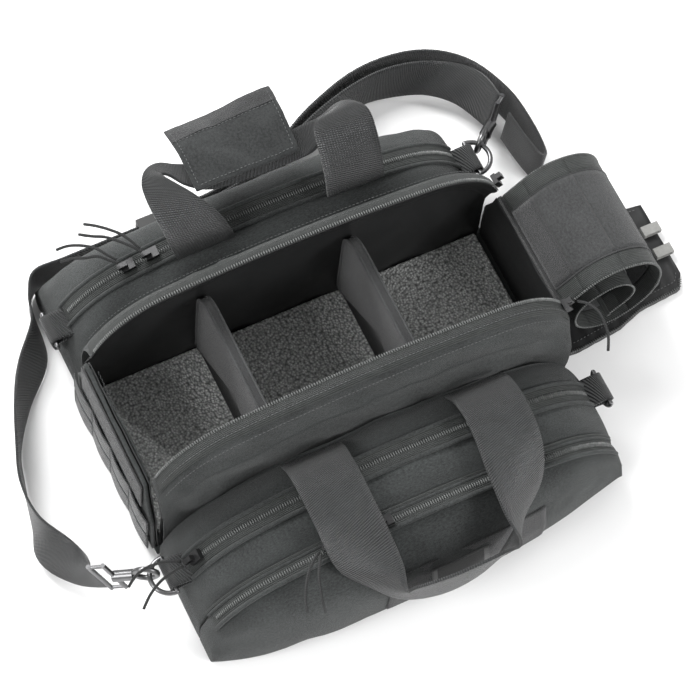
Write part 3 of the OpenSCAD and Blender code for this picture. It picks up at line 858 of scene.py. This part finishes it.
lid_cloth = cloth_finish("lid_cloth", 0.014, 0.058, rough=0.75)
for i in range(11):
    line = lid_curve(i)

    def across_lid(y0, y1, lift=0.0):
        def rule(a, b):
            spot = b * (len(line) - 1)
            low = min(int(spot), len(line) - 2)
            place = line[low].lerp(line[low + 1], spot - low)
            ahead = (line[low + 1] - line[low]).normalized()
            up = Vector((-ahead.z, 0, ahead.x))
            y = y0 + (y1 - y0) * a
            place = place + up * lift
            return (place.x, y, place.z)
        return rule
    steps = len(line) - 1
    finish, slot = (lid_cloth, "pack_cloth") if i else (loop_pile, "loop_pile")
    made = [thicken(piece(f"lid_cloth_{i}", laid(14, steps, across_lid(-lid_cloth_half,
                                                                       lid_cloth_half)),
                          finish, None, (f"lid_panel_{min(i, 9)}",)), 1.8, 0)]
    for side, word in ((-1, "front"), (1, "rear")):
        made.append(thicken(piece(f"lid_tape_{word}_{i}", laid(
            4, steps, across_lid(side * 38, side * 54.5)), zip_tape, None), 1.0, 0))
        edge = [Vector(across_lid(side * lid_edge, side * lid_edge)(0, k / steps))
                for k in range(steps + 1)]
        made.append(toothed(f"lid_teeth_{word}_{i}", edge, None, (1.3, 2.6, 2.2), 2.0, (0, 1, 0)))
        fold_line = [Vector(across_lid(side * 38.2, side * 38.2, 0.6)(0, k / steps))
                     for k in range(steps + 1)]
        made.append(piece(f"lid_piping_{word}_{i}", rod(fold_line, 0.8, 6), lid_cloth, None))
    start, end = tuple(line[0] * mm), tuple(line[-1] * mm)
    for part in made:
        if i == 0:
            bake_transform(part)
        elif i == 10:
            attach(part, "lid_9")
        else:
            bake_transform(part)
end_rim = folds[9].lerp(folds[10], 0.81)
piece("lid_bound_end", rod([(end_rim.x, y, end_rim.z) for y in (-55, -28, 0, 28, 55)], 2.2, 8),
      zip_tape, "lid_9")

# ---------------------------------------------------------------------------
# End flap: the cover of a flat pocket, folded down on the ground below the
# lid. Elastic puckers it, and it has a zip edge, grommets and two keepers.
# ---------------------------------------------------------------------------


def reach(x, table):
    for (x0, y0), (x1, y1) in zip(table, table[1:]):
        if x <= x1:
            return y0 + (y1 - y0) * (x - x0) / (x1 - x0)
    return table[-1][1]


near_edge = [(190, -60), (206, -61), (246, -57), (270, -49), (309, -46), (318, -30)]
far_edge = [(190, 52), (262, 46), (318, 38)]


def flap_rule(a, b):
    x = 191 + 126 * b
    y = reach(x, near_edge) + (reach(x, far_edge) - reach(x, near_edge)) * a
    pucker = 1.1 * math.sin(x * 0.55) * max(0.0, 1 - abs(a - 0.15) * 4)
    return (x, y, 2.9 + pucker + ripple((x, y, 0), 26, 1.2, 4))


flap_piece = thicken(piece("end_flap_cloth", laid(30, 34, flap_rule), lining, "end_flap",
                           ("end_flap",)), 1.8, 0)
flap_line = [(x, reach(x, near_edge) + 1.5, 5.4) for x in range(193, 316, 3)]
toothed("end_flap_teeth", flap_line, "end_flap", (1.1, 3.4, 1.6))
stitched("end_flap_stitches", [[(x, y + 7, 5.2) for x, y, z in flap_line],
                               [(x, reach(x, far_edge) - 4, 5.2) for x in range(195, 312, 4)]],
         "end_flap")

# ---------------------------------------------------------------------------
# Carry handles: flat webbing sewn down beside the rim, its legs falling over
# the pockets to a grip. The rear grip has a wrap that closes with hook tape.
# ---------------------------------------------------------------------------


def band(points, sides, widths, smooth=5):
    """Flat webbing: its middle line, its width's directions, and its widths in mm."""
    path = along(points, smooth)
    aims = [v.normalized() for v in along(sides, smooth)]
    wide = [v.x for v in along([(w, 0, 0) for w in widths], smooth)]

    def rule(a, b):
        spot = b * (len(path) - 1)
        low = min(int(spot), len(path) - 2)
        part = spot - low
        side = aims[low].lerp(aims[low + 1], part).normalized()
        width = wide[low] + (wide[low + 1] - wide[low]) * part
        return tuple(path[low].lerp(path[low + 1], part) + side * (a - 0.5) * width)
    return laid(8, len(path) - 1, rule)


front_path = [(-59, -87, 104), (-60, -99, 119), (-60.5, -122, 126), (-60, -152, 121),
              (-58, -184, 108), (-50, -206, 94), (-34, -214, 84), (2, -218, 78), (40, -216, 82),
              (61, -208, 92), (74, -184, 108), (80, -152, 121), (82, -122, 126), (82, -99, 119),
              (82, -87, 104)]
front_sides = [(1, 0, 0)] * 4 + [(0.85, -0.3, 0.35), (0.3, -0.5, 0.8), (0, -0.2, 1), (0, -0.1, 1),
                                 (0, -0.2, 1), (-0.3, -0.5, 0.8), (-0.85, -0.3, 0.35)] + [
                                     (-1, 0, 0)] * 4
rear_path = [(-60, 101, 119), (-63, 105, 130), (-68, 116, 144), (-76, 134, 155), (-81, 149, 160),
             (-79, 159, 159), (-70, 160, 155), (-58, 152, 150), (-40, 145, 147), (-5, 142, 146),
             (30, 142, 146), (48, 143, 147), (61, 147, 150), (71, 152, 156), (74, 149, 162),
             (74, 139, 162), (73, 123, 152), (72, 109, 136), (71, 101, 119)]
rear_sides = [(1, 0, 0)] * 3 + [(1, -0.1, 0), (1, -0.3, 0), (0.7, -0.7, 0), (0.2, -1, 0)] + [
    (0, -1, 0)] * 5 + [(-0.3, -1, 0), (-0.8, -0.6, 0), (-1, -0.1, 0)] + [(-1, 0, 0)] * 4
rear_widths = [50, 50, 46, 36, 24, 13, 13, 20, 25, 25, 25, 24, 16, 16, 34, 48, 50, 50, 50]
for word, path, sides, widths in (("front", front_path, front_sides, [50] * 15),
                                  ("rear", rear_path, rear_sides, rear_widths)):
    thicken(piece(f"{word}_handle_webbing", band(path, sides, widths), webbing, f"{word}_handle",
                  (f"{word}_handle",)), 2.4, 0)


def wrap_rule(a, b):
    x = -54 + 89 * b
    y = 62 * a
    arch = 6.2 * math.sin(math.pi * a)
    return (x, 133 + y - 4 * b * a, 151 + arch + (18 * b - 8) * a + ripple((x, y, 0), 24, 3.4, 7)
            + 3.2 * abs(noise.noise(Vector(((x + y) / 26, (x - y) / 60, 3)))))


wrap_cloth = cloth_finish("wrap_cloth", 0.006, 0.040, (1, 1.08, 1.09))
wrap = thicken(piece("rear_wrap_cloth", laid(22, 30, wrap_rule), wrap_cloth, "handle_wrap",
                     ("handle_wrap",)), 1.8, 0)
piece("rear_wrap_hooks", laid(6, 30, lambda a, b: tuple(Vector(wrap_rule(0.76 + 0.22 * a, b))
                                                        + Vector((0, 0, 1.5)))), loop_pile,
      "handle_wrap")
stitched("rear_wrap_stitches", [
    [tuple(Vector(wrap_rule(a, k / 20)) + Vector((0, 0, 1.4))) for k in range(1, 20)]
    for a in (0.06, 0.74, 0.97)] + [
    [tuple(Vector(wrap_rule(k / 12, b)) + Vector((0, 0, 1.4))) for k in range(1, 12)]
    for b in (0.04, 0.96)], "handle_wrap")

# ---------------------------------------------------------------------------
# Shoulder strap: narrower webbing between two swivel hooks, lying on edge on
# the ground, with its free run doubled back through a plastic adjuster.
# ---------------------------------------------------------------------------
strap_width = 38
strap_path = [(-238, -89, 39.5), (-247, -76, 31), (-256, -52, 22), (-261, -20, 20.5),
              (-258, 14, 20.5), (-248, 46, 20.5), (-230, 80, 19.5), (-209, 108, 17.5),
              (-194, 134, 20), (-190, 157, 20.5), (-178, 174, 21.5), (-150, 174, 23),
              (-90, 174, 24), (-50, 174, 24), (-10, 176, 22), (40, 188, 20.5), (92, 212, 20.5),
              (140, 224, 20.5), (176, 222, 21), (208, 208, 24), (225, 184, 33), (232, 152, 39.5)]
strap_sides = [(-0.33, 0.18, 0.93), (0.3, 0, 0.9), (0.75, -0.2, 0.6), (0.1, -0.2, 1),
               (-0.15, -0.2, 1), (-0.1, -0.1, 1), (-0.3, 0, 1), (-0.6, 0, 0.8), (-0.2, 0, 1)] + [
                   (0, 0, 1)] * 8 + [(0.1, 0.1, 1), (0.4, 0.2, 0.9), (0.8, 0.2, 0.6),
                                     (0.6, 0.1, 0.8), (0.29, 0.24, 0.93)]
tail_path = [(-52, 178, 24), (-14, 180, 22), (40, 194, 20.5), (92, 220, 20.5),
             (145, 236, 20.5), (196, 232, 20.5), (232, 208, 20.5), (251, 168, 20.5),
             (255, 130, 20.5), (252, 100, 22), (245, 98, 27), (239, 116, 33), (235, 138, 38)]
for name, node, path, sides in (
        ("strap_webbing", "shoulder_strap", strap_path, strap_sides),
        ("strap_tail_webbing", "strap_tail", tail_path, [(0.1, 0.05, 1)] * 13)):
    strap = band(path, sides, [strap_width] * len(path))
    thicken(piece(name, strap, webbing, "bag", (node,)), 1.9, 0)

# ---------------------------------------------------------------------------
# Hardware: plated wire rings and hooks on webbing corner tabs, die-cast zip
# sliders, grommets, a moulded adjuster and pale elastic keepers.
# ---------------------------------------------------------------------------


def coat(finish, *nodes):
    """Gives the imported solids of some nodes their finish."""
    for node in nodes:
        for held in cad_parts[node].material_slots:
            held.material = finish.material


# A corner tab runs out of the pocket's end seam, round the ring's bar and back.
tab_side = [(170, 55.4), (180, 57), (187, 57.5), (190, 57.5), (192.6, 56.4), (193.5, 54),
            (192.6, 51.6), (190, 50.5), (187, 50.6), (180, 51.4), (170, 52.4)]
tab_width = 24
tab_y = 114
for side, word in ((-1, "front"), (1, "rear")):
    for end, end_word in ((-1, "left"), (1, "right")):
        loop = [(end * x, side * tab_y, z) for x, z in tab_side]
        tab = band(loop, [(0, end, 0)] * len(loop), [tab_width] * len(loop))
        thicken(piece(f"ring_tab_{word}_{end_word}", tab, webbing, "bag",
                      ("ring_tabs",)), 1.5, 0)

steel = glossy_finish("plated_steel", 0.16, 0.3, (1, 1, 1.02), 1.0)
gunmetal = glossy_finish("slider_metal", 0.035, 0.35, (1, 1, 1.02), 0.8)
coat(steel, "ring_front_right", "ring_rear_left", "strap_rings", "hook_front_left",
     "hook_rear_right", "flap_grommets")
coat(gunmetal, "rear_pull_a", "rear_pull_b", "organizer_pull", "outer_pull_a", "outer_pull_b",
     "rim_pulls")
coat(glossy_finish("buckle_plastic", 0.02, 0.5), "strap_slider")
coat(glossy_finish("pale_elastic", 0.24, 0.85, (1, 1, 0.96)), "flap_keepers")

# ---------------------------------------------------------------------------
# Dividers: padded boards covered in brushed velour and bound along the edge,
# held to the lining by their fuzzy faces so they can be moved.
# ---------------------------------------------------------------------------
velour = pile_finish("divider_velour", 0.011, 0.050)
# In mm: the height the faces close in on, and half a board's thickness in them and at its edge.
board_heart = 60.0
board_half = 3.9
board_edge = 3.28
binding = cloth_finish("divider_binding", 0.03, 0.085, rough=0.8)
for word, x0 in (("left", -78), ("right", 50)):
    def outline(u):
        """Goes up one side, over the rounded top and down the other, u from 0 to 1."""
        half, low, high, turn = 70.6, 10.5, 117.4, 24
        if u < 0.3:
            return (-half, low + (high - turn - low) * u / 0.3)
        if u > 0.7:
            return (half, low + (high - turn - low) * (1 - u) / 0.3)
        if u < 0.4:
            t = (u - 0.3) / 0.1 * math.pi / 2
            return (-half + turn - turn * math.cos(t), high - turn + turn * math.sin(t))
        if u > 0.6:
            t = (0.7 - u) / 0.1 * math.pi / 2
            return (half - turn + turn * math.cos(t), high - turn + turn * math.sin(t))
        return (-half + turn + (2 * half - 2 * turn) * (u - 0.4) / 0.2, high)

    def board_rule(a, b):
        """The middle half of a is the board's edge; the rest is its two crowned faces."""
        y, z = outline(b)
        swing = 2 * a - 1
        if abs(swing) > 0.5:
            half = board_half * math.copysign(abs(swing) ** 0.25, swing)
            size = 1 - (abs(swing) - 0.5) / 0.5
        else:
            half = swing * 2 * board_edge
            size = 1
        return (x0 + half, y * size, board_heart + (z - board_heart) * size)
    bm = laid(28, 90, board_rule)
    bmesh.ops.remove_doubles(bm, verts=bm.verts, dist=0.0001)
    bmesh.ops.holes_fill(bm, edges=bm.edges, sides=0)
    bmesh.ops.recalc_face_normals(bm, faces=bm.faces)
    board = piece(f"divider_{word}_board", bm, velour, f"divider_{word}",
                  (f"divider_{word}",))
    for k, off in enumerate((-3.4, 3.4)):
        piece(f"divider_{word}_binding_{k}", rod([(x0 + off, *outline(0.02 + 0.96 * u / 80))
                                                  for u in range(81)], 1.0, 6),
              binding, f"divider_{word}")
